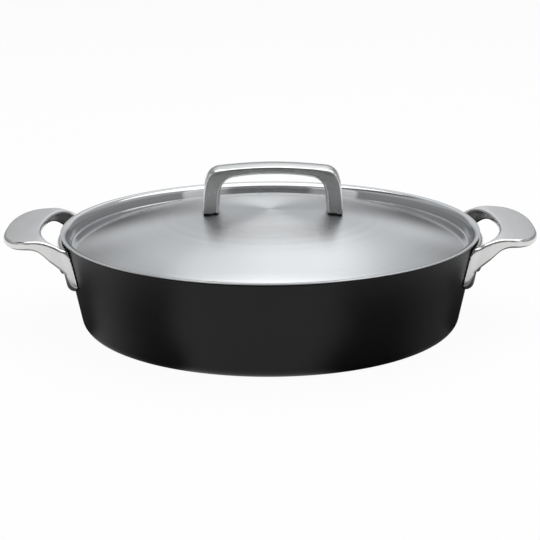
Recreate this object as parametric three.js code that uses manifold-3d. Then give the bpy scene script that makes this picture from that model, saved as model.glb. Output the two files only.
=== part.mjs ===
// Round lidded roasting pan: coated aluminium pan, steel base disc, two riveted cast handles,
// and a pressed steel lid with a bridge handle screwed on from below.
// Millimetres, +Z up, origin at the centre of the rest face, side handles along X.

import * as THREE from 'three';
import { mergeVertices } from 'three/addons/utils/BufferGeometryUtils.js';
import Module from 'manifold-3d';

const wasm = await Module();
wasm.setup();

// Pan
const RIM_RADIUS = 143;
const PAN_HEIGHT = 65;
const WALL_SLOPE = 0.2;
const WALL = 2.6;
const BASE_THICKNESS = 5;
const OUTER_CORNER = 8;
const INNER_CORNER = 6;
const RIM_CHAMFER = 0.7;
const DISC_RADIUS = 108;
const DISC_THICKNESS = 1.7;

// Lid
const LID_RADIUS = 144;
const SHEET = 0.8;
const LID_SEAT_GAP = 0.4;
const FLANGE_BEND = 4.2;
const LID_WALL_TILT = THREE.MathUtils.degToRad(12.5);
const CREASE_RADIUS = 136.5;
const DOME_RISE = 12.4;
const DOME_RADIUS = 446;
const DOME_STEPS = 10;
const BEND_STEPS = 4;

// Bridge handle on the lid
const BRIDGE_OFFSET = 1.9;
const BRIDGE_DEPTH = 18;
const BRIDGE_TOP = 110;
const BRIDGE_SHOULDER = 107.6;
const BRIDGE_BAR = 5.6;
const LEG_OUTER = 48;
const LEG_INNER = 37.3;
const LEG_LEAN = 1.5;
const BRIDGE_OUTER_BEND = 12;
const BRIDGE_INNER_BEND = 11.5;
const GASKET = 0.7;
const GASKET_INSET = 0.6;
const SCREW_X = (LEG_OUTER + LEG_INNER) / 2;
const SCREW_RADIUS = 2.5;
const SCREW_HEAD_RADIUS = 4.8;
const SCREW_HEAD = 2.6;
const SCREW_REACH = 12;

// Side handles
const HANDLE_HALF_WIDTH = 50.2;
const GRIP_TIP = 182.4;
const GRIP_TOP = 68.6;
const GRIP_UNDER = 62.4;
const SADDLE = 4.5;
const SADDLE_HALF_WIDTH = 50.2;
const SADDLE_TOP = 62;
const SADDLE_BOTTOM = 28;
const FINGER_CENTRE = 142;
const FINGER_REACH = 15.2;
const FINGER_HALF_WIDTH = 45.8;

// Rivets
const RIVET_ANGLE = THREE.MathUtils.degToRad(10);
const RIVET_HEIGHT = 46;
const RIVET_RADIUS = 3.2;
const RIVET_INNER_HEAD = 6.5;
const RIVET_OUTER_HEAD = 5.2;
const RIVET_DOME = 2;
const RIVET_OUTER_DOME = 2.4;

// Clearance between touching pieces, and roundness of the facets
const GAP = 0.3;
const TURNS = 72;
const SMALL_TURNS = 20;
const CURVE_STEPS = 8;
const REACH = 220;

const coating = new THREE.MeshStandardMaterial({ color: 0x1b1b1c, roughness: 0.5, metalness: 0.1 });
const baseSteel = new THREE.MeshStandardMaterial({ color: 0x9a9a98, roughness: 0.4, metalness: 1 });
const castSteel = new THREE.MeshStandardMaterial({ color: 0xbfbfbd, roughness: 0.35, metalness: 1 });
const rivetSteel = new THREE.MeshStandardMaterial({ color: 0xb4b4b2, roughness: 0.3, metalness: 1 });
const lidSteel = new THREE.MeshStandardMaterial({ color: 0xc4c6c8, roughness: 0.25, metalness: 1 });
const rubber = new THREE.MeshStandardMaterial({ color: 0x101010, roughness: 0.8, metalness: 0 });

const point = (x, y) => new THREE.Vector2(x, y);

// Welds shared vertices and drops the slivers that collapse on the axis of a lathe.
function weld(geometry) {
  const bare = geometry.clone();
  bare.deleteAttribute('normal');
  bare.deleteAttribute('uv');
  const welded = mergeVertices(bare, 1e-4);
  const corners = welded.index.array;
  const kept = [];
  for (let i = 0; i < corners.length; i += 3) {
    const [a, b, c] = [corners[i], corners[i + 1], corners[i + 2]];
    if (a !== b && b !== c && c !== a) kept.push(a, b, c);
  }
  welded.setIndex(kept);
  return welded;
}

function solid(geometry) {
  const welded = weld(geometry);
  const vertProperties = new Float32Array(welded.attributes.position.array);
  const triVerts = new Uint32Array(welded.index.array);
  return new wasm.Manifold(new wasm.Mesh({ numProp: 3, vertProperties, triVerts }));
}

function geometryOf(manifold) {
  const mesh = manifold.getMesh();
  const geometry = new THREE.BufferGeometry();
  geometry.setAttribute('position', new THREE.BufferAttribute(mesh.vertProperties, 3));
  geometry.setIndex(new THREE.BufferAttribute(mesh.triVerts, 1));
  return geometry;
}

// A profile of (radius, height) points turned about +Z.
function turned(profile, turns = TURNS) {
  return new THREE.LatheGeometry(profile, turns).rotateX(Math.PI / 2);
}

// A plan outline in X and Y, raised from one height to another.
function raised(shape, from, to) {
  const settings = { depth: to - from, bevelEnabled: false, curveSegments: CURVE_STEPS };
  return new THREE.ExtrudeGeometry(shape, settings).translate(0, 0, from);
}

// A side outline in X and Z, drawn out to both sides of the XZ plane.
function drawnAlongY(shape, halfWidth) {
  const settings = { depth: 2 * halfWidth, bevelEnabled: false, curveSegments: CURVE_STEPS };
  return new THREE.ExtrudeGeometry(shape, settings).rotateX(Math.PI / 2).translate(0, halfWidth, 0);
}

// Points of an arc between two angles, as profile points.
function arc(centreR, centreZ, radius, from, to, steps) {
  const points = [];
  for (let i = 0; i <= steps; i += 1) {
    const angle = from + ((to - from) * i) / steps;
    points.push(point(centreR + radius * Math.cos(angle), centreZ + radius * Math.sin(angle)));
  }
  return points;
}

const wallRadius = (z) => RIM_RADIUS - (PAN_HEIGHT - z) * WALL_SLOPE;
const wallTilt = Math.atan(WALL_SLOPE);

// An arc that rounds the corner between a level floor and the flared wall.
function cornerArc(radius, floor, inset) {
  const centreZ = floor + radius;
  const wallNormal = point(Math.cos(wallTilt), -Math.sin(wallTilt));
  const touchZ = centreZ + radius * wallNormal.y;
  const centreR = wallRadius(touchZ) - inset - radius * wallNormal.x;
  return arc(centreR, centreZ, radius, -Math.PI / 2, -wallTilt, CURVE_STEPS);
}

// The wall's outer face moved out by an offset, as a solid that fills the pan and goes above it.
function filledWall(offset) {
  const low = -20;
  const high = 100;
  return turned([point(0, low), point(wallRadius(low) + offset, low), point(wallRadius(high) + offset, high),
    point(0, high)]);
}

// Places a piece made along +Z so that it runs outward through the wall at a rivet's seat.
function placedOnWall(piece, side) {
  const seat = wallRadius(RIVET_HEIGHT);
  return piece
    .rotateY(Math.PI / 2 + wallTilt)
    .translate(seat, 0, RIVET_HEIGHT)
    .rotateZ(side * RIVET_ANGLE);
}

function rivetHole(side) {
  const radius = RIVET_RADIUS + GAP;
  const length = 40;
  const hole = new THREE.CylinderGeometry(radius, radius, length, SMALL_TURNS);
  return solid(placedOnWall(hole.rotateX(Math.PI / 2), side));
}

function panBody() {
  const recessRadius = DISC_RADIUS + GAP;
  const recessDepth = DISC_THICKNESS + GAP;
  const innerRim = RIM_RADIUS - WALL;
  const profile = [
    point(0, recessDepth),
    point(recessRadius, recessDepth),
    point(recessRadius, 0),
    ...cornerArc(OUTER_CORNER, 0, 0),
    point(RIM_RADIUS - RIM_CHAMFER * WALL_SLOPE, PAN_HEIGHT - RIM_CHAMFER),
    point(RIM_RADIUS - RIM_CHAMFER, PAN_HEIGHT),
    point(innerRim + RIM_CHAMFER, PAN_HEIGHT),
    point(innerRim - RIM_CHAMFER * WALL_SLOPE, PAN_HEIGHT - RIM_CHAMFER),
    ...cornerArc(INNER_CORNER, BASE_THICKNESS, WALL).reverse(),
    point(0, BASE_THICKNESS),
  ];
  let pan = solid(turned(profile));
  for (const turn of [0, 180]) {
    for (const side of [-1, 1]) pan = pan.subtract(rivetHole(side).rotate([0, 0, turn]));
  }
  return geometryOf(pan);
}

function baseDisc() {
  const edge = 0.5;
  return turned([point(0, 0), point(DISC_RADIUS - edge, 0), point(DISC_RADIUS, edge),
    point(DISC_RADIUS, DISC_THICKNESS), point(0, DISC_THICKNESS)]);
}

// Side view of the handle's loop: level grip that bends down to the wall.
// The two inner ends lie inside the pan's wall, which is cut away afterwards.
function loopSide() {
  const insideLow = point(115, 36);
  const insideHigh = point(115, 50);
  const armToe = point(130, 36.5);
  const toePull = point(134.5, 40);
  const armHeel = point(136, 45.5);
  const armUnder = point(140.2, 49.5);
  const bendUnder = point(152.5, 59.5);
  const gripUnderStart = 160;
  const tipCorner = 1.2;
  const tipMiddle = GRIP_UNDER + 2.4;
  const tipTop = GRIP_TOP - 1.8;
  const crestX = 156;
  const crestReach = 12;
  const crestPull = GRIP_TOP - 0.4;
  const bendTop = point(142, 65.1);
  const armTop = point(134.5, 60.5);
  const shape = new THREE.Shape();
  shape.moveTo(insideLow.x, insideLow.y);
  shape.lineTo(armToe.x, armToe.y);
  shape.quadraticCurveTo(toePull.x, toePull.y, armHeel.x, armHeel.y);
  shape.lineTo(armUnder.x, armUnder.y);
  shape.lineTo(bendUnder.x, bendUnder.y);
  shape.quadraticCurveTo(crestX, GRIP_UNDER, gripUnderStart, GRIP_UNDER);
  shape.lineTo(GRIP_TIP - tipCorner, GRIP_UNDER);
  shape.quadraticCurveTo(GRIP_TIP + tipCorner, tipMiddle, GRIP_TIP - tipCorner, tipTop);
  shape.quadraticCurveTo(crestX + crestReach, crestPull, crestX, GRIP_TOP);
  shape.quadraticCurveTo(crestX - crestReach / 2, GRIP_TOP, bendTop.x, bendTop.y);
  shape.lineTo(armTop.x, armTop.y);
  shape.lineTo(insideHigh.x, insideHigh.y);
  return shape;
}

// Plan of the whole handle: near-parallel sides and a broad rounded end.
function loopPlan() {
  const inside = 110;
  const armEnd = 146;
  const shoulder = point(162, 49.2);
  const corner = point(177, 48.4);
  const endTangent = 27;
  const shape = new THREE.Shape();
  shape.moveTo(inside, -HANDLE_HALF_WIDTH);
  shape.lineTo(armEnd, -HANDLE_HALF_WIDTH);
  shape.lineTo(shoulder.x, -shoulder.y);
  shape.bezierCurveTo(corner.x, -corner.y, GRIP_TIP, -endTangent, GRIP_TIP, 0);
  shape.bezierCurveTo(GRIP_TIP, endTangent, corner.x, corner.y, shoulder.x, shoulder.y);
  shape.lineTo(armEnd, HANDLE_HALF_WIDTH);
  shape.lineTo(inside, HANDLE_HALF_WIDTH);
  return shape;
}

// Plan of the finger opening: half an ellipse on the grip side, straight towards the wall.
function fingerPlan() {
  const inside = 100;
  const quarter = Math.PI / 2;
  const shape = new THREE.Shape();
  shape.moveTo(inside, -FINGER_HALF_WIDTH);
  shape.lineTo(FINGER_CENTRE, -FINGER_HALF_WIDTH);
  shape.absellipse(FINGER_CENTRE, 0, FINGER_REACH, FINGER_HALF_WIDTH, -quarter, quarter, false, 0);
  shape.lineTo(inside, FINGER_HALF_WIDTH);
  return shape;
}

// Outline of the saddle seen along X: straight top, sides drawn in to a rounded lower edge.
function saddleOutline() {
  const half = SADDLE_HALF_WIDTH;
  const sideEnd = 41;
  const sidePull = 33;
  const lowerPull = 34;
  const shape = new THREE.Shape();
  shape.moveTo(-half, SADDLE_TOP);
  shape.lineTo(-half, sideEnd);
  shape.bezierCurveTo(-half, sidePull, -lowerPull, SADDLE_BOTTOM, 0, SADDLE_BOTTOM);
  shape.bezierCurveTo(lowerPull, SADDLE_BOTTOM, half, sidePull, half, sideEnd);
  shape.lineTo(half, SADDLE_TOP);
  return shape;
}

function sideHandle() {
  const inner = solid(filledWall(GAP));
  const outer = solid(filledWall(GAP + SADDLE));
  const blockStart = 100;
  const blockDepth = 60;
  const settings = { depth: blockDepth, bevelEnabled: false, curveSegments: CURVE_STEPS };
  const outline = new THREE.ExtrudeGeometry(saddleOutline(), settings);
  const saddleBlock = outline.rotateX(Math.PI / 2).rotateZ(Math.PI / 2).translate(blockStart, 0, 0);
  const saddle = solid(saddleBlock).intersect(outer);
  const loop = solid(drawnAlongY(loopSide(), REACH))
    .intersect(solid(raised(loopPlan(), 0, REACH)))
    .subtract(solid(raised(fingerPlan(), 0, REACH)));
  let handle = loop.add(saddle).subtract(inner);
  for (const side of [-1, 1]) handle = handle.subtract(rivetHole(side));
  return geometryOf(handle);
}

// Section of a low domed head, from its rim to the axis, raised by the given height over its seat.
function domedHead(radius, seat, height) {
  const shoulder = 0.6;
  const rimShare = 0.3;
  const shoulderShare = 0.85;
  return [
    point(radius, seat),
    point(radius, seat + height * rimShare),
    point(radius * shoulder, seat + height * shoulderShare),
    point(0, seat + height),
  ];
}

// Rivet along +Z, with its zero at the wall's outer face: domed head inside, low head outside.
function rivet() {
  const innerSeat = -WALL * Math.cos(wallTilt) - GAP;
  const outerSeat = SADDLE + 2 * GAP;
  return turned([
    ...domedHead(RIVET_INNER_HEAD, innerSeat, -RIVET_DOME).reverse(),
    point(RIVET_RADIUS, innerSeat),
    point(RIVET_RADIUS, outerSeat),
    ...domedHead(RIVET_OUTER_HEAD, outerSeat, RIVET_OUTER_DOME),
  ], SMALL_TURNS);
}

const FLANGE_TOP = PAN_HEIGHT + LID_SEAT_GAP + SHEET;
const APEX = FLANGE_TOP + DOME_RISE;
const domeZ = (r) => APEX - DOME_RADIUS + Math.sqrt(DOME_RADIUS ** 2 - r ** 2);
const CREASE_DEPTH = FLANGE_TOP - domeZ(CREASE_RADIUS);

// Points of the dome's section, moved up by an offset, from the axis outward.
function domePoints(offset, outerRadius) {
  const points = [];
  for (let i = 0; i <= DOME_STEPS; i += 1) {
    const r = (outerRadius * i) / DOME_STEPS;
    points.push(point(r, domeZ(r) + offset));
  }
  return points;
}

// The lid's upper face in section: dome down to the groove, leaning wall, rounded bend and flange.
// Its lower face is the same line, moved down and out by the sheet's thickness.
function lidSection(thickness) {
  const wallAngle = Math.PI - LID_WALL_TILT;
  const bendReach = FLANGE_BEND * Math.tan((Math.PI / 2 - LID_WALL_TILT) / 2);
  const bendCentre = CREASE_RADIUS + CREASE_DEPTH * Math.tan(LID_WALL_TILT) + bendReach;
  const creaseShift = thickness / Math.cos(LID_WALL_TILT) - thickness * Math.tan(LID_WALL_TILT);
  return [
    ...domePoints(-thickness, CREASE_RADIUS + creaseShift),
    ...arc(bendCentre, FLANGE_TOP - FLANGE_BEND, FLANGE_BEND - thickness, wallAngle, Math.PI / 2, BEND_STEPS),
    point(LID_RADIUS, FLANGE_TOP - thickness),
  ];
}

function lidShell() {
  let lid = solid(turned([...lidSection(SHEET), ...lidSection(0).reverse()]));
  for (const side of [-1, 1]) lid = lid.subtract(screwHole(side));
  return geometryOf(lid);
}

const screwX = (side) => BRIDGE_OFFSET + side * SCREW_X;

function screwHole(side) {
  const radius = SCREW_RADIUS + GAP;
  const hole = new THREE.CylinderGeometry(radius, radius, 2 * SCREW_REACH, SMALL_TURNS);
  const centre = domeZ(SCREW_X) + GASKET;
  return solid(hole.rotateX(Math.PI / 2).translate(screwX(side), 0, centre));
}

// Everything below the dome moved up by an offset.
function filledDome(offset) {
  const outerRadius = 100;
  return solid(turned([point(0, 0), point(outerRadius, 0), ...domePoints(offset, outerRadius).reverse()]));
}

// Bridge outline in X and Z: an arched bar on two legs that spread a little towards the lid.
// The legs run on below the lid, which trims them to its dome afterwards.
function bridgeSide() {
  const low = 60;
  const spread = LEG_LEAN * 0.6;
  const outerTop = LEG_OUTER - LEG_LEAN;
  const innerTop = LEG_INNER - LEG_LEAN;
  const barUnder = BRIDGE_TOP - BRIDGE_BAR;
  const underShoulder = BRIDGE_SHOULDER - BRIDGE_BAR;
  const outerBend = point(outerTop - BRIDGE_OUTER_BEND, BRIDGE_SHOULDER + 0.6);
  const innerBend = point(innerTop - BRIDGE_INNER_BEND, underShoulder + 0.8);
  const outerPull = outerTop - 0.6;
  const innerPull = innerTop - 1;
  const archPull = 15;
  const shape = new THREE.Shape();
  shape.moveTo(-LEG_OUTER - spread, low);
  shape.lineTo(-outerTop, BRIDGE_SHOULDER - BRIDGE_OUTER_BEND);
  shape.quadraticCurveTo(-outerPull, BRIDGE_SHOULDER, -outerBend.x, outerBend.y);
  shape.quadraticCurveTo(-archPull, BRIDGE_TOP, 0, BRIDGE_TOP);
  shape.quadraticCurveTo(archPull, BRIDGE_TOP, outerBend.x, outerBend.y);
  shape.quadraticCurveTo(outerPull, BRIDGE_SHOULDER, outerTop, BRIDGE_SHOULDER - BRIDGE_OUTER_BEND);
  shape.lineTo(LEG_OUTER + spread, low);
  shape.lineTo(LEG_INNER + spread, low);
  shape.lineTo(innerTop, underShoulder - BRIDGE_INNER_BEND);
  shape.quadraticCurveTo(innerPull, underShoulder, innerBend.x, innerBend.y);
  shape.quadraticCurveTo(archPull, barUnder, 0, barUnder);
  shape.quadraticCurveTo(-archPull, barUnder, -innerBend.x, innerBend.y);
  shape.quadraticCurveTo(-innerPull, underShoulder, -innerTop, underShoulder - BRIDGE_INNER_BEND);
  shape.lineTo(-LEG_INNER - spread, low);
  return shape;
}

function lidHandle() {
  const footLift = GASKET + 2 * GAP;
  const bridge = drawnAlongY(bridgeSide(), BRIDGE_DEPTH / 2).translate(BRIDGE_OFFSET, 0, 0);
  let handle = solid(bridge).subtract(filledDome(footLift));
  for (const side of [-1, 1]) handle = handle.subtract(screwHole(side));
  return geometryOf(handle);
}

// Thin pad between the lid and one foot of the bridge.
function gasket(side) {
  const width = LEG_OUTER - LEG_INNER - 2 * GASKET_INSET;
  const depth = BRIDGE_DEPTH - 2 * GASKET_INSET;
  const height = 40;
  const block = new THREE.BoxGeometry(width, depth, height).translate(screwX(side), 0, domeZ(SCREW_X));
  const pad = solid(block)
    .intersect(filledDome(GAP + GASKET))
    .subtract(filledDome(GAP))
    .subtract(screwHole(side));
  return geometryOf(pad);
}

// Screw along +Z, with its zero at the seat of the head under the lid.
function lidScrew() {
  const tip = SCREW_REACH - 1.5;
  const tipChamfer = 1;
  return turned([
    ...domedHead(SCREW_HEAD_RADIUS, 0, -SCREW_HEAD).reverse(),
    point(SCREW_RADIUS, 0),
    point(SCREW_RADIUS, tip - tipChamfer),
    point(SCREW_RADIUS - tipChamfer, tip),
    point(0, tip),
  ], SMALL_TURNS);
}

function piece(name, geometry, material) {
  const mesh = new THREE.Mesh(weld(geometry), material);
  mesh.name = name;
  return mesh;
}

const roastingPan = new THREE.Group();
roastingPan.add(piece('pan_body', panBody(), coating));
roastingPan.add(piece('base_disc', baseDisc(), baseSteel));

const handleGeometry = sideHandle();
for (const [sideName, turn] of [['right', 0], ['left', Math.PI]]) {
  const station = new THREE.Group();
  station.rotation.z = turn;
  station.add(piece(`side_handle_${sideName}`, handleGeometry, castSteel));
  for (const side of [-1, 1]) {
    const row = side * Math.cos(turn) < 0 ? 'front' : 'rear';
    station.add(piece(`handle_rivet_${sideName}_${row}`, placedOnWall(rivet(), side), rivetSteel));
  }
  roastingPan.add(station);
}

const lid = new THREE.Group();
lid.add(piece('lid_shell', lidShell(), lidSteel));
lid.add(piece('lid_handle', lidHandle(), castSteel));
for (const [sideName, side] of [['right', 1], ['left', -1]]) {
  lid.add(piece(`lid_handle_gasket_${sideName}`, gasket(side), rubber));
  const screw = piece(`lid_screw_${sideName}`, lidScrew(), rivetSteel);
  const headEdge = Math.abs(screwX(side)) + SCREW_HEAD_RADIUS;
  screw.position.set(screwX(side), 0, domeZ(headEdge) - SHEET - GAP);
  lid.add(screw);
}
roastingPan.add(lid);

export default roastingPan;
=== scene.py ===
"""Looks of a low round roasting pan with a lid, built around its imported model.

Sizes are in millimetres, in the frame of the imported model, and become metres when a mesh is made.
"""

import math

import bmesh
import bpy
import numpy as np
from mathutils import Matrix, Vector


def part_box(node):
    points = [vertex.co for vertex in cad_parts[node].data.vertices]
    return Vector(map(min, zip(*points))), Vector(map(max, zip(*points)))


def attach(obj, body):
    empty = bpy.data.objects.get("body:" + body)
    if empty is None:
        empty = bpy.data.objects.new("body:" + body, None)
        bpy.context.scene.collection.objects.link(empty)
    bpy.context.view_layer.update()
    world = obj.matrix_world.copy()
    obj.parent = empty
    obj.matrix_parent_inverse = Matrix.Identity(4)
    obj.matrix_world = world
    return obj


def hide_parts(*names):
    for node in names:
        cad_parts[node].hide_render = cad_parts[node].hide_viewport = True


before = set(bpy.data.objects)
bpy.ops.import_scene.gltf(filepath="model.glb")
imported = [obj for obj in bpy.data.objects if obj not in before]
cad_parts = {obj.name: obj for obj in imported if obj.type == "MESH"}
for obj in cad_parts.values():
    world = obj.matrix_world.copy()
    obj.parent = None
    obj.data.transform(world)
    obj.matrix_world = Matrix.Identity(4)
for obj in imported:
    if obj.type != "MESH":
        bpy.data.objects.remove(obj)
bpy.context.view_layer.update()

MM = 0.001

# Pan
RIM_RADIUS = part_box("pan_body")[1].x / MM
PAN_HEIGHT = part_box("pan_body")[1].z / MM
WALL_SLOPE = 0.2
WALL_TILT = math.atan(WALL_SLOPE)
WALL = 2.6
FLOOR_TOP = 5.0
OUTER_CORNER = 8.0
INNER_CORNER = 6.0
RIM_ROUND = 0.9
DISC_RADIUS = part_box("base_disc")[1].x / MM
DISC_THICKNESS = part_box("base_disc")[1].z / MM

# Lid
LID_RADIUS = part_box("lid_shell")[1].x / MM
FLANGE_TOP = PAN_HEIGHT + 1.2
SHEET = 0.8
FLANGE_BEND = 5.0
LID_WALL_TILT = math.radians(12.5)
CREASE_RADIUS = 136.6
CREASE_ROUND = 1.0
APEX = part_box("lid_shell")[1].z / MM
DOME_RADIUS = 446.0
POLISH_START = 5.0
POLISH_END = 125.0

# Bridge handle on the lid
BRIDGE_OFFSET = 1.9
BRIDGE_DEPTH = 19.6
BRIDGE_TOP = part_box("lid_handle")[1].z / MM + 0.7
BRIDGE_SHOULDER = BRIDGE_TOP - 2.6
BRIDGE_BAR = 6.1
BRIDGE_CROWN = 0.9
LEG_OUTER = 48.4
LEG_INNER = 37.6
LEG_LEAN = 1.5
OUTER_BEND = 12.0
INNER_BEND = 11.5
FOOT_LIFT = 1.0
SCREW_X = 42.65
SCREW_HEAD_RADIUS = 4.8
SCREW_HEAD = 2.6
SCREW_RADIUS = 2.5
SCREW_REACH = 10.5

# Side handles
HANDLE_HALF_WIDTH = 50.2
GRIP_TIP = 182.4
GRIP_TOP = 68.6
GRIP_UNDER = 62.4
GRIP_THINNING = 2.0
SADDLE = 4.3
SADDLE_HALF_WIDTH = 50.2
SADDLE_TOP = 62.0
SADDLE_BOTTOM = 28.0
WALL_GAP = 0.3
FINGER_CENTRE = 142.0
FINGER_REACH = 15.2
FINGER_HALF_WIDTH = 45.8

# Rivets
RIVET_ANGLE = math.radians(10)
RIVET_HEIGHT = 46.0
RIVET_RADIUS = 3.2
RIVET_INNER_HEAD = 6.5
RIVET_OUTER_HEAD = 5.2
RIVET_DOME = 2.0
RIVET_OUTER_DOME = 2.4

# Fineness of the meshes
TURNS = 256
SMALL_TURNS = 64
CURVE_STEPS = 24

# Camera fitted to the photograph, in its 540 pixel frame
FRAME_PIXELS = 540
FOCAL_PIXELS = 1579.4
SENSOR = 36.0
CAMERA_DISTANCE = 1100.0
CAMERA_ELEVATION = math.radians(15.603)
CAMERA_ROLL = math.radians(-0.296)
AIM_HEIGHT = 34.76
SHIFT_PIXELS = 0.38


def wall_radius(z):
    return RIM_RADIUS - (PAN_HEIGHT - z) * WALL_SLOPE


def dome_z(r):
    return APEX - DOME_RADIUS + np.sqrt(DOME_RADIUS**2 - np.square(r))


# Outlines and turned meshes


def rounded(corners, steps=6):
    """A line through (x, y, radius) corners; each radius makes an arc with a support point at both ends."""
    line = []
    for i, (x, y, radius) in enumerate(corners):
        here = np.array((x, y))
        if radius == 0:
            line.append(here)
            continue
        before = np.array(corners[i - 1][:2]) - here
        after = np.array(corners[(i + 1) % len(corners)][:2]) - here
        before /= np.linalg.norm(before)
        after /= np.linalg.norm(after)
        half = math.acos(before @ after) / 2
        reach = radius / math.tan(half)
        middle = (before + after) / np.linalg.norm(before + after)
        centre = here + middle * radius / math.sin(half)
        start = here + before * reach
        sweep = math.pi - 2 * half
        if before[0] * after[1] - before[1] * after[0] > 0:
            sweep = -sweep
        first = math.atan2(*(start - centre)[::-1])
        support = 0.3 * min(radius, 1)
        line.append(start + before * support)
        for angle in np.linspace(first, first + sweep, steps + 1):
            line.append(centre + radius * np.array((math.cos(angle), math.sin(angle))))
        line.append(here + after * (reach + support))
    return line


def bezier(*controls, steps=CURVE_STEPS):
    """Points of a Bezier curve, without its first point."""
    points = []
    for t in np.linspace(0, 1, steps + 1)[1:]:
        row = [np.array(c, float) for c in controls]
        while len(row) > 1:
            row = [a + (b - a) * t for a, b in zip(row, row[1:])]
        points.append(row[0])
    return points


def turned(profile, turns=TURNS, radius_at=None):
    """A profile of (radius, height) points turned about +Z, closed on the axis or on itself."""
    vertices = []
    rings = []
    for row, (r, z) in enumerate(profile):
        if abs(r) < 1e-6:
            rings.append([len(vertices)] * turns)
            vertices.append((0, 0, z))
            continue
        rings.append(list(range(len(vertices), len(vertices) + turns)))
        for k in range(turns):
            angle = 2 * math.pi * k / turns
            reach = r if radius_at is None else radius_at(row, r, angle)
            vertices.append((reach * math.cos(angle), reach * math.sin(angle), z))
    if profile[0][0] > 1e-6:
        rings.append(rings[0])
    faces = []
    for low, high in zip(rings, rings[1:]):
        for k in range(turns):
            n = (k + 1) % turns
            face = list(dict.fromkeys((low[k], low[n], high[n], high[k])))
            if len(face) > 2:
                faces.append(face)
    return vertices, faces


def lofted(rings):
    """Vertices and faces through closed rings of equal length, with a flat face at both ends."""
    count = len(rings[0])
    vertices = [tuple(v) for ring in rings for v in ring]
    faces = [list(range(count)), list(range(len(vertices) - count, len(vertices)))]
    for low in range(0, len(vertices) - count, count):
        high = low + count
        for k in range(count):
            n = (k + 1) % count
            faces.append([low + k, low + n, high + n, high + k])
    return vertices, faces


# Solids given as fields, negative inside, and the meshes drawn on their surfaces


def outline_distance(outline, x, y):
    """Signed distance from points to a closed outline in a plane, negative inside it."""
    shape = np.broadcast(x, y).shape
    nearest = np.full(shape, np.inf)
    inside = np.zeros(shape, bool)
    for (x0, y0), (x1, y1) in zip(outline, outline[1:] + outline[:1]):
        ex = x1 - x0
        ey = y1 - y0
        share = np.clip(((x - x0) * ex + (y - y0) * ey) / (ex * ex + ey * ey), 0, 1)
        nearest = np.minimum(nearest, np.square(x - x0 - share * ex) + np.square(y - y0 - share * ey))
        if ey != 0:
            inside ^= ((y0 <= y) != (y1 <= y)) & (x < x0 + (y - y0) * ex / ey)
    return np.where(inside, -np.sqrt(nearest), np.sqrt(nearest))


def meet(radius, *fields):
    """What all the solids share, with its edges rounded."""
    lifted = [f + radius for f in fields]
    deepest = lifted[0]
    spread = np.square(np.maximum(lifted[0], 0))
    for f in lifted[1:]:
        deepest = np.maximum(deepest, f)
        spread = spread + np.square(np.maximum(f, 0))
    return np.minimum(deepest, 0) + np.sqrt(spread) - radius


def join(radius, *fields):
    """All the solids together, with a fillet where they meet."""
    return -meet(radius, *[-f for f in fields])


def smooth_step(low, high, value):
    t = np.clip((value - low) / (high - low), 0, 1)
    return t * t * (3 - 2 * t)


def gradient(field, points):
    tiny = 0.02
    columns = []
    for axis in range(3):
        step = np.zeros(3)
        step[axis] = tiny
        ahead = field(*(points + step).T)
        behind = field(*(points - step).T)
        columns.append((ahead - behind) / (2 * tiny))
    return np.stack(columns, axis=1)


def drawn_on(field, points, rounds):
    """Moves points along a field's gradient until they lie on its surface."""
    for _ in range(rounds):
        slope = gradient(field, points)
        size = np.maximum((slope * slope).sum(axis=1), 0.05)
        points = points - slope * (field(*points.T) / size)[:, None]
    return points


def net_faces(inside, index):
    """One quad for each grid edge that crosses the surface, between the four cells around it."""
    quads = []
    for axis in range(3):
        ahead = np.swapaxes(inside, 0, axis)
        crossing = np.argwhere(ahead[1:] != ahead[:-1])
        side, other = [a for a in range(3) if a != axis]
        edges = crossing.copy()
        edges[:, [0, axis]] = edges[:, [axis, 0]]
        corners = []
        for a, b in ((1, 1), (0, 1), (0, 0), (1, 0)):
            cell = edges.copy()
            cell[:, side] -= a
            cell[:, other] -= b
            corners.append(index[tuple(cell.T)])
        quads.append(np.stack(corners, axis=1))
    return np.concatenate(quads)


def netted(field, low, high, step):
    """Vertices and faces of the closed surface of a field inside a box."""
    axes = [np.arange(a, b + step, step) for a, b in zip(low, high)]
    inside = field(*np.meshgrid(*axes, indexing="ij", sparse=True)) < 0
    nx, ny, nz = inside.shape
    held = np.zeros((nx - 1, ny - 1, nz - 1), int)
    for i in (0, 1):
        for j in (0, 1):
            for k in (0, 1):
                held += inside[i : nx - 1 + i, j : ny - 1 + j, k : nz - 1 + k]
    mixed = (held > 0) & (held < 8)
    index = np.full(mixed.shape, -1)
    index[mixed] = np.arange(mixed.sum())
    faces = net_faces(inside, index)
    points = np.array(low) + (np.argwhere(mixed) + 0.5) * step
    points = drawn_on(field, points, 3)
    near = np.concatenate([faces[:, [k, (k + 1) % 4]] for k in range(4)])
    near = np.concatenate([near, near[:, ::-1]])
    share = np.bincount(near[:, 0], minlength=len(points))[:, None]
    for _ in range(4):
        total = np.zeros_like(points)
        np.add.at(total, near[:, 0], points[near[:, 1]])
        points = drawn_on(field, points + 0.6 * (total / share - points), 1)
    return drawn_on(field, points, 2), faces


# Materials


def add(tree, kind, inputs=None, **settings):
    """Adds a node; inputs holds sockets to link and values to set."""
    node = tree.nodes.new(kind)
    for name, value in settings.items():
        setattr(node, name, value)
    for name, value in (inputs or {}).items():
        if isinstance(value, bpy.types.NodeSocket):
            tree.links.new(value, node.inputs[name])
        else:
            node.inputs[name].default_value = value
    return node


def new_material(name):
    material = bpy.data.materials.new(name)
    material.use_nodes = True
    return material, material.node_tree, material.node_tree.nodes["Principled BSDF"]


def ranged(tree, value, low, high):
    """Spreads a noise value, which lies around one half, between two values."""
    node = add(tree, "ShaderNodeMapRange", {"Value": value, "From Min": 0.25, "From Max": 0.75})
    node.inputs["To Min"].default_value = low
    node.inputs["To Max"].default_value = high
    return node.outputs["Result"]


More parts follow.
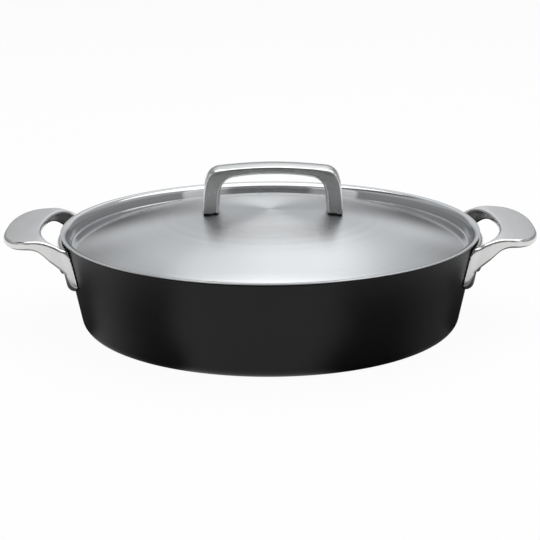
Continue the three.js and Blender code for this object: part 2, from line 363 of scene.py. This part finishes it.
def mixed_colour(tree, factor, first, second):
    node = add(tree, "ShaderNodeMix", {"Factor": factor}, data_type="RGBA")
    colours = [s for s in node.inputs if s.type == "RGBA"]
    for socket, colour in zip(colours, (first, second)):
        if isinstance(colour, bpy.types.NodeSocket):
            tree.links.new(colour, socket)
        else:
            socket.default_value = (*colour, 1)
    return [s for s in node.outputs if s.type == "RGBA"][0]


def mixed_value(tree, factor, first, second):
    return add(tree, "ShaderNodeMix", {0: factor, 2: first, 3: second}, data_type="FLOAT").outputs[0]


def eased(tree, value, low, high, start, end):
    """Maps a value from one range to another with soft ends."""
    inputs = {"Value": value, "From Min": low, "From Max": high, "To Min": start, "To Max": end}
    return add(tree, "ShaderNodeMapRange", inputs, interpolation_type="SMOOTHSTEP").outputs["Result"]


def math_node(tree, operation, *values):
    return add(tree, "ShaderNodeMath", dict(enumerate(values)), operation=operation).outputs[0]


def place(tree):
    return add(tree, "ShaderNodeTexCoord").outputs["Object"]


def noise(tree, vector, size, detail=2.0, stretch=(1, 1, 1)):
    """Noise whose features are about as large as the given size in millimetres."""
    scaled = add(tree, "ShaderNodeMapping", {"Vector": vector, "Scale": stretch})
    inputs = {"Vector": scaled.outputs["Vector"], "Scale": 1 / (size * MM), "Detail": detail}
    return add(tree, "ShaderNodeTexNoise", inputs).outputs["Fac"]


def ring_distance(tree, vector):
    """Distance from the +Z axis."""
    flat = add(tree, "ShaderNodeVectorMath", {0: vector, 1: (1, 1, 0)}, operation="MULTIPLY")
    length = add(tree, "ShaderNodeVectorMath", {0: flat.outputs["Vector"]}, operation="LENGTH")
    return length.outputs["Value"]


def ring_noise(tree, vector, size, detail=2.0):
    """Noise that changes only with the distance from the +Z axis."""
    inputs = {"W": ring_distance(tree, vector), "Scale": 1 / (size * MM), "Detail": detail}
    return add(tree, "ShaderNodeTexNoise", inputs, noise_dimensions="1D").outputs["Fac"]


def bump(tree, height, strength, distance, normal=None):
    inputs = {"Height": height, "Strength": strength, "Distance": distance * MM}
    if normal is not None:
        inputs["Normal"] = normal
    return add(tree, "ShaderNodeBump", inputs).outputs["Normal"]


def tint(tree, shader, value, first, second):
    """Colours a shader between two colours by a noise value."""
    colour = mixed_colour(tree, ranged(tree, value, 0, 1), first, second)
    tree.links.new(colour, shader.inputs["Base Color"])


def brush_in_circles(tree, shader, amount):
    """Stretches a shader's gloss across brush marks that run around the +Z axis."""
    shader.inputs["Anisotropic"].default_value = amount
    shader.inputs["Anisotropic Rotation"].default_value = 0.25
    around = add(tree, "ShaderNodeTangent", direction_type="RADIAL", axis="Z")
    tree.links.new(around.outputs["Tangent"], shader.inputs["Tangent"])


def coating_finish():
    """Satin black sprayed coating with a faint orange peel."""
    material, tree, shader = new_material("pan_coating")
    where = place(tree)
    cloud = noise(tree, where, 35, 3)
    grain = noise(tree, where, 0.55, 3)
    peel = noise(tree, where, 2.4, 2)
    tint(tree, shader, grain, (0.005, 0.005, 0.0053), (0.009, 0.009, 0.0094))
    tree.links.new(ranged(tree, cloud, 0.31, 0.36), shader.inputs["Roughness"])
    shader.inputs["Specular IOR Level"].default_value = 0.205
    fine = bump(tree, grain, 0.10, 0.05)
    tree.links.new(bump(tree, peel, 0.05, 0.2, fine), shader.inputs["Normal"])
    return material


def lid_finish():
    """Stainless sheet brushed in circles around the lid's centre, finer towards the rim."""
    rim_roughness = 0.14
    material, tree, shader = new_material("lid_steel")
    where = place(tree)
    fine = ring_noise(tree, where, 0.7, 3)
    broad = ring_noise(tree, where, 5, 2)
    haze = noise(tree, where, 45, 2)
    tint(tree, shader, mixed_value(tree, 0.3, fine, broad), (0.54, 0.55, 0.56), (0.61, 0.615, 0.62))
    brushed = ranged(tree, haze, 0.33, 0.37)
    reach = ring_distance(tree, where)
    polish = eased(tree, reach, POLISH_START * MM, POLISH_END * MM, 0.0, 1.0)
    tree.links.new(mixed_value(tree, polish, brushed, rim_roughness), shader.inputs["Roughness"])
    shader.inputs["Metallic"].default_value = 1
    brush_in_circles(tree, shader, 0.9)
    tree.links.new(bump(tree, fine, 0.06, 0.03), shader.inputs["Normal"])
    return material


def base_finish():
    """Steel disc ground in circles."""
    material, tree, shader = new_material("base_steel")
    where = place(tree)
    fine = ring_noise(tree, where, 0.5, 3)
    broad = ring_noise(tree, where, 6, 2)
    tint(tree, shader, broad, (0.36, 0.36, 0.355), (0.47, 0.47, 0.46))
    tree.links.new(ranged(tree, fine, 0.30, 0.42), shader.inputs["Roughness"])
    shader.inputs["Metallic"].default_value = 1
    brush_in_circles(tree, shader, 0.7)
    tree.links.new(bump(tree, fine, 0.15, 0.05), shader.inputs["Normal"])
    return material


def hole_wall(tree, where):
    """One on the walls that face into the finger hole of a side handle, zero elsewhere; these walls get
    painted shade.
    """
    hole_centre = 152 * MM
    facing_start = 8 * MM
    facing_end = 16 * MM
    pan_edge = 138 * MM
    pan_clear = 144 * MM
    spot = add(tree, "ShaderNodeSeparateXYZ", {"Vector": where})
    normal = add(tree, "ShaderNodeTexCoord").outputs["Normal"]
    facing = add(tree, "ShaderNodeSeparateXYZ", {"Vector": normal})
    side = math_node(tree, "SIGN", spot.outputs["X"])
    centre = math_node(tree, "MULTIPLY", side, hole_centre)
    across = math_node(tree, "SUBTRACT", centre, spot.outputs["X"])
    inward = math_node(tree, "MULTIPLY", across, facing.outputs["X"])
    along = math_node(tree, "MULTIPLY", spot.outputs["Y"], facing.outputs["Y"])
    towards = math_node(tree, "SUBTRACT", inward, along)
    distance = math_node(tree, "ABSOLUTE", spot.outputs["X"])
    wall = eased(tree, towards, facing_start, facing_end, 0.0, 1.0)
    outside = eased(tree, distance, pan_edge, pan_clear, 0.0, 1.0)
    return math_node(tree, "MULTIPLY", wall, outside)


def handle_finish():
    """Satin cast steel with a fine grain, polished along its edges, rougher inside the holes and darkened
    there with painted shade.
    """
    edge_polish = -0.10
    cast_roughness = 0.15
    # Colour of the painted shade on the finger-hole walls
    hole_shade_colour = (0.24, 0.24, 0.235)
    material, tree, shader = new_material("handle_steel")
    where = place(tree)
    grain = noise(tree, where, 0.5, 3)
    streak = noise(tree, where, 0.5, 2, stretch=(1, 0.08, 1))
    cloud = noise(tree, where, 18, 3)
    edge = add(tree, "ShaderNodeAttribute", attribute_name="edge").outputs["Fac"]
    # cast marks the finger-hole walls: rough cast there, and darkened with painted shade
    cast = hole_wall(tree, where)
    steel = mixed_colour(tree, ranged(tree, cloud, 0, 1), (0.68, 0.68, 0.675), (0.73, 0.73, 0.725))
    # Painted shade: the base colour darkens on the finger-hole walls
    tree.links.new(mixed_colour(tree, cast, steel, hole_shade_colour), shader.inputs["Base Color"])
    satin = ranged(tree, cloud, 0.23, 0.28)
    polished = math_node(tree, "MULTIPLY_ADD", edge, edge_polish, satin)
    roughness = math_node(tree, "MULTIPLY_ADD", cast, cast_roughness, polished)
    tree.links.new(roughness, shader.inputs["Roughness"])
    shader.inputs["Metallic"].default_value = 1
    rough = bump(tree, grain, 0.08, 0.04)
    tree.links.new(bump(tree, streak, 0.06, 0.03, rough), shader.inputs["Normal"])
    return material


def rivet_finish():
    """Plain stainless steel with faint marks of the press."""
    material, tree, shader = new_material("rivet_steel")
    where = place(tree)
    marks = noise(tree, where, 1.2, 3)
    tint(tree, shader, marks, (0.54, 0.54, 0.53), (0.62, 0.62, 0.61))
    tree.links.new(ranged(tree, marks, 0.24, 0.34), shader.inputs["Roughness"])
    shader.inputs["Metallic"].default_value = 1
    tree.links.new(bump(tree, marks, 0.08, 0.05), shader.inputs["Normal"])
    return material


def rubber_finish():
    """Matte black silicone rubber."""
    material, tree, shader = new_material("gasket_rubber")
    where = place(tree)
    dust = noise(tree, where, 0.4, 3)
    tint(tree, shader, dust, (0.010, 0.010, 0.010), (0.018, 0.018, 0.018))
    tree.links.new(ranged(tree, dust, 0.70, 0.85), shader.inputs["Roughness"])
    tree.links.new(bump(tree, dust, 0.1, 0.05), shader.inputs["Normal"])
    return material


FINISHES = {
    "pan_coating": coating_finish(),
    "lid_steel": lid_finish(),
    "base_steel": base_finish(),
    "handle_steel": handle_finish(),
    "rivet_steel": rivet_finish(),
    "gasket_rubber": rubber_finish(),
}

# Pieces


def edge_values(mesh):
    """How strongly each vertex bulges out between its neighbours: 0 on flat faces, 1 on edges."""
    count = len(mesh.vertices)
    co = np.zeros(count * 3)
    mesh.vertices.foreach_get("co", co)
    co = co.reshape(-1, 3)
    normal = np.zeros(count * 3)
    mesh.vertices.foreach_get("normal", normal)
    normal = normal.reshape(-1, 3)
    pairs = np.zeros(len(mesh.edges) * 2, int)
    mesh.edges.foreach_get("vertices", pairs)
    pairs = pairs.reshape(-1, 2)
    pairs = np.concatenate([pairs, pairs[:, ::-1]])
    step = co[pairs[:, 1]] - co[pairs[:, 0]]
    bend = -(step * normal[pairs[:, 0]]).sum(axis=1) / np.maximum((step * step).sum(axis=1), 1e-12)
    total = np.bincount(pairs[:, 0], weights=bend, minlength=count)
    share = np.bincount(pairs[:, 0], minlength=count)
    sharpest = 0.25 / MM
    return np.clip(total / np.maximum(share, 1) / sharpest, 0, 1)


def made(name, shape, finish, body, *nodes):
    """Makes a piece in place of the named nodes, riding on a body."""
    vertices, faces = shape
    mesh = bpy.data.meshes.new(name)
    mesh.from_pydata((np.array(vertices, float) * MM).tolist(), [], [list(map(int, f)) for f in faces])
    shell = bmesh.new()
    shell.from_mesh(mesh)
    bmesh.ops.recalc_face_normals(shell, faces=shell.faces)
    shell.to_mesh(mesh)
    shell.free()
    mesh.shade_smooth()
    mesh.set_sharp_from_angle(angle=math.radians(45))
    edge = mesh.attributes.new("edge", "FLOAT", "POINT")
    edge.data.foreach_set("value", edge_values(mesh).astype(np.float32))
    mesh.materials.append(FINISHES[finish])
    piece = bpy.data.objects.new(name, mesh)
    bpy.context.scene.collection.objects.link(piece)
    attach(piece, body)
    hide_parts(*nodes)
    return piece


def moved(shape, matrix):
    vertices, faces = shape
    return [tuple(matrix @ Vector(v)) for v in vertices], faces


def pan_profile():
    recess = DISC_THICKNESS + WALL_GAP
    recess_radius = DISC_RADIUS + WALL_GAP
    inner_rim = RIM_RADIUS - WALL
    return rounded([
        (0, recess, 0),
        (recess_radius, recess, 0.3),
        (recess_radius, 0, 0.3),
        (wall_radius(0), 0, OUTER_CORNER),
        (RIM_RADIUS, PAN_HEIGHT, RIM_ROUND),
        (inner_rim, PAN_HEIGHT, RIM_ROUND),
        (wall_radius(FLOOR_TOP) - WALL, FLOOR_TOP, INNER_CORNER),
        (0, FLOOR_TOP, 0),
    ], steps=10)


def disc_profile():
    """A thin disc with two shallow turned grooves in its lower face."""
    groove = 0.25
    corners = [(0, 0, 0)]
    for radius in (DISC_RADIUS * 0.35, DISC_RADIUS * 0.75):
        for step, depth in ((-1, 0), (-0.6, groove), (0.6, groove), (1, 0)):
            corners.append((radius + step, depth, 0))
    corners += [(DISC_RADIUS, 0, 0.4), (DISC_RADIUS, DISC_THICKNESS, 0.2), (0, DISC_THICKNESS, 0)]
    return rounded(corners)


def lid_profile():
    """A dome that runs down to a groove, whose leaning wall bends out into a flat flange."""
    shoulder = CREASE_RADIUS - 4
    crease_z = float(dome_z(CREASE_RADIUS))
    inner = [(r, float(dome_z(r)), 0) for r in np.linspace(0, shoulder, CURVE_STEPS + 1)]
    flange_corner = CREASE_RADIUS + (FLANGE_TOP - crease_z) * math.tan(LID_WALL_TILT)
    across = SHEET * (1 - math.sin(LID_WALL_TILT)) / math.cos(LID_WALL_TILT)
    top = inner + [
        (CREASE_RADIUS, crease_z, CREASE_ROUND),
        (flange_corner, FLANGE_TOP, FLANGE_BEND),
        (LID_RADIUS, FLANGE_TOP, SHEET * 0.45),
    ]
    under = [(r, z - SHEET, 0) for r, z, _ in inner] + [
        (CREASE_RADIUS + across, crease_z - SHEET, CREASE_ROUND + SHEET),
        (flange_corner + across, FLANGE_TOP - SHEET, FLANGE_BEND - SHEET),
        (LID_RADIUS, FLANGE_TOP - SHEET, SHEET * 0.45),
    ]
    return rounded(under + top[::-1], steps=12)


def handle_outlines():
    """Side view of a loop, plan of its outer edge, plan of its opening, and outline of its saddle."""
    root = (130, 36.5)
    elbow = (152.5, 59.5)
    crest = (156, GRIP_TOP)
    tip_under = (GRIP_TIP - 1.2, GRIP_UNDER)
    tip_top = (GRIP_TIP - 1.2, GRIP_TOP - 1.8)
    corner = (162, 49.2)
    side = [(115, 36), root]
    side += bezier(root, (134.5, 40), (136, 45.5))
    side += [(140.2, 49.5), elbow]
    side += bezier(elbow, (156, GRIP_UNDER), (160, GRIP_UNDER))
    side += [tip_under]
    side += bezier(tip_under, (GRIP_TIP + 1.2, GRIP_UNDER + 2.4), tip_top)
    side += bezier(tip_top, (168, GRIP_TOP - 0.4), crest)
    side += bezier(crest, (150, GRIP_TOP), (142, 65.1))
    side += [(134.5, 60.5), (115, 50)]
    half = [(110, HANDLE_HALF_WIDTH), (146, HANDLE_HALF_WIDTH), corner]
    half += bezier(corner, (177, 48.4), (GRIP_TIP, 27), (GRIP_TIP, 0))
    plan = half + [(x, -y) for x, y in half[-2::-1]]
    finger = [(100, FINGER_HALF_WIDTH)]
    for turn in np.linspace(math.pi / 2, -math.pi / 2, 2 * CURVE_STEPS + 1):
        finger.append((FINGER_CENTRE + FINGER_REACH * math.cos(turn), FINGER_HALF_WIDTH * math.sin(turn)))
    finger.append((100, -FINGER_HALF_WIDTH))
    width = SADDLE_HALF_WIDTH
    low = [(width, SADDLE_TOP), (width, 40)]
    low += bezier((width, 40), (width, 33), (36, SADDLE_BOTTOM), (0, SADDLE_BOTTOM))
    saddle = low + [(-y, z) for y, z in low[-2::-1]]
    return [[tuple(map(float, p)) for p in line] for line in (side, plan, finger, saddle)]


def side_handle_shape():
    side_line, plan_line, finger_line, saddle_line = handle_outlines()
    thickness = GRIP_TOP - GRIP_UNDER
    chamfer = 0.75
    edge_round = 0.35
    saddle_round = 3.4
    root_fillet = 2.5
    wall_round = 0.9
    step = 0.65
    diagonal = math.sqrt(2)

    def field(x, y, z):
        wall = (np.hypot(x, y) - wall_radius(z)) * math.cos(WALL_TILT)
        opening = outline_distance(finger_line, x, y)
        thinning = (1 - smooth_step(0, 12, opening)) * smooth_step(146, 157, x)
        drop = thickness / (thickness - GRIP_THINNING * thinning)
        side = outline_distance(side_line, x, GRIP_TOP - (GRIP_TOP - z) * drop)
        plan = outline_distance(plan_line, x, y)
        outer_edge = (side + plan) / diagonal + chamfer
        inner_edge = (side - opening) / diagonal + chamfer
        loop = meet(edge_round, side, plan, -opening, outer_edge, inner_edge)
        pad = outline_distance(saddle_line, y, z)
        saddle = meet(saddle_round, wall - WALL_GAP - SADDLE, pad)
        return meet(wall_round, join(root_fillet, loop, saddle), WALL_GAP - wall)

    return netted(field, (121.0, -52.0, 26.0), (185.0, 52.0, 71.0), step)


def bridge_outlines():
    """Outer and inner side view of the bridge: an arched bar on two legs that spread towards the lid."""
    low = 60
    spread = LEG_LEAN * 0.6
    outer_top = LEG_OUTER - LEG_LEAN
    inner_top = LEG_INNER - LEG_LEAN
    under = BRIDGE_TOP - BRIDGE_BAR
    under_shoulder = BRIDGE_SHOULDER - BRIDGE_BAR
    outer_start = (outer_top, BRIDGE_SHOULDER - OUTER_BEND)
    outer_end = (outer_top - OUTER_BEND, BRIDGE_SHOULDER + 0.6)
    inner_start = (inner_top, under_shoulder - INNER_BEND)
    inner_end = (inner_top - INNER_BEND, under_shoulder + 0.8)
    outer = [(LEG_OUTER + spread, low), outer_start]
    outer += bezier(outer_start, (outer_top - 0.6, BRIDGE_SHOULDER), outer_end)
    outer += bezier(outer_end, (15, BRIDGE_TOP), (0, BRIDGE_TOP))
    inner = [(LEG_INNER + spread, low), inner_start]
    inner += bezier(inner_start, (inner_top - 1, under_shoulder), inner_end)
    inner += bezier(inner_end, (15, under), (0, under))
    over = outer + [(-x, z) for x, z in outer[-2::-1]]
    below = inner + [(-x, z) for x, z in inner[-2::-1]]
    return [[(BRIDGE_OFFSET + float(x), float(z)) for x, z in line] for line in (over, below)]


def lid_handle_shape():
    """The bridge, crowned on its outer face, with crisp outer edges and soft inner ones."""
    over, below = bridge_outlines()
    half = BRIDGE_DEPTH / 2
    outer_round = 0.8
    bend_round = 1.4
    inner_round = 2.2
    foot_round = 0.3
    bend_x = 37.5
    bend_width = 6
    step = 0.65

    def field(x, y, z):
        near_bend = np.exp(-np.square((np.abs(x - BRIDGE_OFFSET) - bend_x) / bend_width))
        bend = near_bend * smooth_step(92, 104, z)
        crown = BRIDGE_CROWN * smooth_step(90, 106, z)
        outer = outline_distance(over, x, z) + crown * np.square(y / half)
        inner = meet(inner_round, -outline_distance(below, x, z), np.abs(y) - half)
        bar = meet(outer_round + bend_round * bend, outer, inner)
        return meet(foot_round, bar, dome_z(np.hypot(x, y)) + FOOT_LIFT - z)

    reach = LEG_OUTER + BRIDGE_OFFSET + 4
    return netted(field, (-reach, -11.0, 70.0), (reach, 11.0, BRIDGE_TOP + 2), step)


def gasket_shape(side):
    """Thin pad with round corners that follows the dome under one foot."""
    inset = 0.5
    corner = 1.6
    width = (LEG_OUTER - LEG_INNER) / 2 - inset
    depth = BRIDGE_DEPTH / 2 - inset
    outline = rounded([(x * width, y * depth, corner) for x, y in ((-1, -1), (1, -1), (1, 1), (-1, 1))])
    centre = BRIDGE_OFFSET + side * SCREW_X
    rings = []
    for lift, shrink in ((0.1, 0.97), (0.2, 1.0), (FOOT_LIFT - 0.2, 1.0), (FOOT_LIFT - 0.1, 0.97)):
        ring = []
        for x, y in outline:
            px = centre + x * shrink
            py = y * shrink
            ring.append((px, py, float(dome_z(math.hypot(px, py))) + lift))
        rings.append(ring)
    return lofted(rings)


def domed_head(radius, seat, height):
    """Section of a low domed head from its rim to the axis."""
    corner = 0.25 * height
    rise = height - corner
    line = [(radius, seat), (radius, seat + corner)]
    line += bezier((radius, seat + corner), (radius * 0.9, seat + corner + rise * 0.75),
                   (radius * 0.55, seat + height), (0, seat + height), steps=12)
    return [tuple(map(float, p)) for p in line]


def rivet_shape():
    inner_seat = -WALL * math.cos(WALL_TILT)
    outer_seat = SADDLE + WALL_GAP
    profile = domed_head(RIVET_INNER_HEAD, inner_seat, -RIVET_DOME)[::-1]
    profile += [(RIVET_RADIUS, inner_seat), (RIVET_RADIUS, outer_seat)]
    profile += domed_head(RIVET_OUTER_HEAD, outer_seat, RIVET_OUTER_DOME)
    return turned(profile, SMALL_TURNS)


def rivet_place(turn, side):
    """Turns a rivet made along +Z to run outward through the wall."""
    seat = Vector((wall_radius(RIVET_HEIGHT), 0, RIVET_HEIGHT))
    lean = Matrix.Rotation(math.pi / 2 + WALL_TILT, 4, "Y")
    return Matrix.Rotation(turn + side * RIVET_ANGLE, 4, "Z") @ Matrix.Translation(seat) @ lean


def screw_shape():
    """Pan-head screw with a hexagon socket, its zero at the seat of the head."""
    socket = 1.75
    depth = 1.5
    head = domed_head(SCREW_HEAD_RADIUS, 0, -SCREW_HEAD)[::-1]
    dome = [(r, z) for r, z in head if r > socket * 1.25]
    profile = [(0, -SCREW_HEAD + depth), (socket, -SCREW_HEAD + depth), (socket, -SCREW_HEAD + 0.2)]
    profile += [(socket * 1.12, -SCREW_HEAD + 0.05)] + dome
    profile += [(SCREW_RADIUS, 0), (SCREW_RADIUS, SCREW_REACH - 1)]
    profile += [(SCREW_RADIUS - 1, SCREW_REACH), (0, SCREW_REACH)]

    def hexagonal(row, radius, angle):
        if row > 3:
            return radius
        sixth = math.pi / 3
        return radius / math.cos((angle % sixth) - sixth / 2)

    return turned(profile, SMALL_TURNS + 8, hexagonal)


def build_pan():
    made("pan_turned", turned(pan_profile()), "pan_coating", "pan", "pan_body")
    made("base_disc_ground", turned(disc_profile()), "base_steel", "pan", "base_disc")
    handle = side_handle_shape()
    rivet = rivet_shape()
    for side_name, turn in (("right", 0), ("left", math.pi)):
        node = f"side_handle_{side_name}"
        made(f"{node}_cast", moved(handle, Matrix.Rotation(turn, 4, "Z")), "handle_steel", "pan", node)
        for side in (-1, 1):
            row = "front" if side * math.cos(turn) < 0 else "rear"
            node = f"handle_rivet_{side_name}_{row}"
            made(f"{node}_set", moved(rivet, rivet_place(turn, side)), "rivet_steel", "pan", node)


def build_lid():
    made("lid_pressed", turned(lid_profile()), "lid_steel", "lid", "lid_shell")
    made("lid_handle_cast", lid_handle_shape(), "handle_steel", "lid", "lid_handle")
    for side_name, side in (("right", 1), ("left", -1)):
        node = f"lid_handle_gasket_{side_name}"
        made(f"{node}_pad", gasket_shape(side), "gasket_rubber", "lid", node)
        node = f"lid_screw_{side_name}"
        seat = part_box(node)[0].z / MM + SCREW_HEAD
        centre = Matrix.Translation((BRIDGE_OFFSET + side * SCREW_X, 0, seat))
        made(f"{node}_turned", moved(screw_shape(), centre), "rivet_steel", "lid", node)


build_pan()
build_lid()

# Stage, lights and camera

PALE = (0.9, 0.9, 0.9, 1)
WHITE = (1, 1, 1, 1)
COOL = (0.96, 0.98, 1.0)

# Painted shade on the floor, seen only in reflections: dark flags beside and in front of the pan, with
# painted gleams, by degrees from straight ahead
LEFT_PAINTED_FLAG = {"edge": (33, 41), "tone": 0.10, "gleam": (46, 70), "gleam_tone": 0.36, "tail": (76, 87)}
RIGHT_PAINTED_FLAG = {"edge": (19, 34), "tone": 0.01, "gleam": (48, 64), "gleam_tone": 0.18, "tail": (80, 88)}
TAIL_TONE = 0.1
# Near the pan's foot the flags reach further round: a painted shadow of the pan on the floor
PAINTED_SHADOW_TURN = 12
PAINTED_SHADOW_REACH = (0.135, 0.18)
PAINTED_FLAG_REACH = (0.215, 0.24)
FRONT_PAINTED_FLAG = (11, 17)
FRONT_PAINTED_FLAG_REACH = (0.32, 0.36)
FRONT_PAINTED_FLAG_TONE = 0.03


def radians(degrees):
    return [math.radians(d) for d in degrees]


def seen_directly(tree):
    """One for rays that see the surroundings: from the camera, off gloss or through glass."""
    path = add(tree, "ShaderNodeLightPath").outputs
    seen = math_node(tree, "MAXIMUM", path["Is Camera Ray"], path["Is Glossy Ray"])
    return math_node(tree, "MAXIMUM", seen, path["Is Transmission Ray"])


def painted_flag_tone(tree, turn, flag):
    """Painted tone of one flag around the pan: a dark edge of painted shade, a painted gleam behind it and
    a dark tail.
    """
    drop = eased(tree, turn, *radians(flag["edge"]), 1.0, flag["tone"])
    rise = eased(tree, turn, *radians(flag["gleam"]), 0.0, flag["gleam_tone"])
    fall = eased(tree, turn, *radians(flag["tail"]), 1.0, TAIL_TONE)
    return math_node(tree, "MULTIPLY", math_node(tree, "ADD", drop, rise), fall)


def painted_floor_reflection(tree):
    """Tone of the floor in reflections: white, with painted shade of dark flags beside the pan and one in
    front of it, reaching further round near the pan as a painted shadow.
    """
    axes = add(tree, "ShaderNodeSeparateXYZ", {"Vector": place(tree)}).outputs
    reach = ring_distance(tree, place(tree))
    ahead = math_node(tree, "MULTIPLY", axes["Y"], -1.0)
    straight = math_node(tree, "ABSOLUTE", math_node(tree, "ARCTAN2", axes["X"], ahead))
    # Painted shadow: the flags' edges turn further round near the pan's foot
    shift = eased(tree, reach, *PAINTED_SHADOW_REACH, math.radians(PAINTED_SHADOW_TURN), 0.0)
    turn = math_node(tree, "ADD", straight, shift)
    left = painted_flag_tone(tree, turn, LEFT_PAINTED_FLAG)
    right = painted_flag_tone(tree, turn, RIGHT_PAINTED_FLAG)
    beside = mixed_value(tree, math_node(tree, "GREATER_THAN", axes["X"], 0.0), left, right)
    around = mixed_value(tree, eased(tree, reach, *PAINTED_FLAG_REACH, 1.0, 0.0), 1.0, beside)
    narrow = eased(tree, straight, *radians(FRONT_PAINTED_FLAG), 1.0, 0.0)
    front = math_node(tree, "MULTIPLY", narrow, eased(tree, reach, *FRONT_PAINTED_FLAG_REACH, 0.0, 1.0))
    return mixed_value(tree, front, around, FRONT_PAINTED_FLAG_TONE)


def build_floor():
    """Wide pale floor, near white where it is seen, that keeps a light shadow and holds the painted flags
    seen in reflections.
    """
    lightness = 0.955
    half = 6.0
    level = -0.2 * MM
    material = bpy.data.materials.new("floor_pale")
    material.use_nodes = True
    tree = material.node_tree
    tree.nodes.clear()
    paint = add(tree, "ShaderNodeBsdfDiffuse", {"Color": PALE})
    glossy = add(tree, "ShaderNodeLightPath").outputs["Is Glossy Ray"]
    # Seen in reflections the floor carries painted shade and painted gleams
    tone = mixed_value(tree, glossy, 1.0, painted_floor_reflection(tree))
    glow = add(tree, "ShaderNodeEmission", {"Color": WHITE, "Strength": tone})
    share = math_node(tree, "MULTIPLY", seen_directly(tree), lightness)
    blend = add(tree, "ShaderNodeMixShader", {"Fac": share})
    tree.links.new(paint.outputs[0], blend.inputs[1])
    tree.links.new(glow.outputs[0], blend.inputs[2])
    output = add(tree, "ShaderNodeOutputMaterial")
    tree.links.new(blend.outputs[0], output.inputs["Surface"])
    mesh = bpy.data.meshes.new("floor")
    corners = [(-half, -half, level), (half, -half, level), (half, half, level), (-half, half, level)]
    mesh.from_pydata(corners, [], [(0, 1, 2, 3)])
    mesh.materials.append(material)
    floor = bpy.data.objects.new("floor", mesh)
    bpy.context.scene.collection.objects.link(floor)


def backdrop_tone(tree, axes):
    """Tone behind the pan: brighter upwards and to the right, with a bright strip near the middle."""
    horizon = 0.12
    middle = 0.86
    top = 0.30
    strip_tone = 0.42
    strip_x = 0.05
    strip_top = 0.4
    lower = eased(tree, axes["Z"], 0.07, 0.30, horizon, middle)
    higher = eased(tree, axes["Z"], 0.40, 0.64, 0.0, top)
    slant = eased(tree, axes["X"], -0.25, 0.25, 0.94, 1.05)
    height = math_node(tree, "MULTIPLY", math_node(tree, "ADD", lower, higher), slant)
    aside = math_node(tree, "ABSOLUTE", math_node(tree, "SUBTRACT", axes["X"], strip_x))
    strip = eased(tree, aside, 0.03, 0.16, strip_tone, 0.0)
    strip = math_node(tree, "MULTIPLY", strip, eased(tree, axes["Z"], 0.33, 0.45, 0.0, 1.0))
    strip = math_node(tree, "MULTIPLY", strip, eased(tree, axes["Z"], 0.50, 0.66, 1.0, strip_top))
    return math_node(tree, "ADD", height, strip)


def room_tone(tree, axes):
    """Tone of the dim room beside and in front of the pan, lighter higher up."""
    front = 0.12
    side = 0.34
    front_above = 0.36
    side_above = 0.60
    low = eased(tree, axes["Y"], -0.95, -0.40, front, side)
    high = eased(tree, axes["Y"], -0.70, -0.20, front_above, side_above)
    return mixed_value(tree, eased(tree, axes["Z"], 0.34, 0.55, 0.0, 1.0), low, high)


def build_world():
    """White to the camera; in reflections a backdrop and a room, dark where the overhead lamp hangs."""
    fill = 0.28
    lamp_tone = 0.1
    backdrop_edge = (11, 20)
    world = bpy.data.worlds.new("studio")
    bpy.context.scene.world = world
    world.use_nodes = True
    tree = world.node_tree
    tree.nodes.clear()
    direction = add(tree, "ShaderNodeTexCoord").outputs["Generated"]
    axes = add(tree, "ShaderNodeSeparateXYZ", {"Vector": direction}).outputs
    turn = math_node(tree, "ABSOLUTE", math_node(tree, "ARCTAN2", axes["X"], axes["Y"]))
    behind = eased(tree, turn, *radians(backdrop_edge), 1.0, 0.0)
    walls = mixed_value(tree, behind, room_tone(tree, axes), backdrop_tone(tree, axes))
    under_lamp = eased(tree, axes["Z"], 0.66, 0.77, 1.0, lamp_tone)
    path = add(tree, "ShaderNodeLightPath").outputs
    glossy = math_node(tree, "MAXIMUM", path["Is Glossy Ray"], path["Is Transmission Ray"])
    reflected = mixed_value(tree, glossy, fill, math_node(tree, "MULTIPLY", walls, under_lamp))
    level = mixed_value(tree, path["Is Camera Ray"], reflected, 1.0)
    tone = mixed_colour(tree, path["Is Camera Ray"], COOL, WHITE[:3])
    background = add(tree, "ShaderNodeBackground", {"Color": tone, "Strength": level})
    output = add(tree, "ShaderNodeOutputWorld")
    tree.links.new(background.outputs[0], output.inputs["Surface"])


def softbox(name, place_m, aim_m, width, height, radiance):
    """A rectangular area light of a given radiance, hidden from the camera."""
    lamp = bpy.data.lights.new(name, "AREA")
    lamp.shape = "RECTANGLE"
    lamp.size = width
    lamp.size_y = height
    lamp.energy = radiance * math.pi * width * height
    light = bpy.data.objects.new(name, lamp)
    light.location = place_m
    light.rotation_euler = (Vector(aim_m) - Vector(place_m)).to_track_quat("-Z", "Y").to_euler()
    light.visible_camera = False
    bpy.context.scene.collection.objects.link(light)


def build_lights():
    overhead_radiance = 2.1
    front_radiance = 0.6
    softbox("overhead", (0.2, 0.25, 1.4), (0.2, 0.25, 0), 1.6, 1.7, overhead_radiance)
    for side in (-1, 1):
        softbox("front_side", (side * 1.15, -1.25, 0.70), (0, 0, 0.05), 0.9, 1.3, front_radiance)


def build_camera():
    lens = bpy.data.cameras.new("photo_camera")
    lens.sensor_fit = "HORIZONTAL"
    lens.sensor_width = SENSOR
    lens.lens = SENSOR * FOCAL_PIXELS / FRAME_PIXELS
    lens.shift_x = -SHIFT_PIXELS / FRAME_PIXELS
    lens.clip_end = 50
    camera = bpy.data.objects.new("photo_camera", lens)
    back = CAMERA_DISTANCE * math.cos(CAMERA_ELEVATION)
    height = AIM_HEIGHT + CAMERA_DISTANCE * math.sin(CAMERA_ELEVATION)
    tilt = Matrix.Rotation(math.pi / 2 - CAMERA_ELEVATION, 4, "X")
    camera.matrix_world = (
        Matrix.Translation((0, -back * MM, height * MM)) @ tilt @ Matrix.Rotation(CAMERA_ROLL, 4, "Z")
    )
    bpy.context.scene.collection.objects.link(camera)
    bpy.context.scene.camera = camera


build_floor()
build_world()
build_lights()
build_camera()
bpy.context.scene.view_settings.view_transform = "Standard"
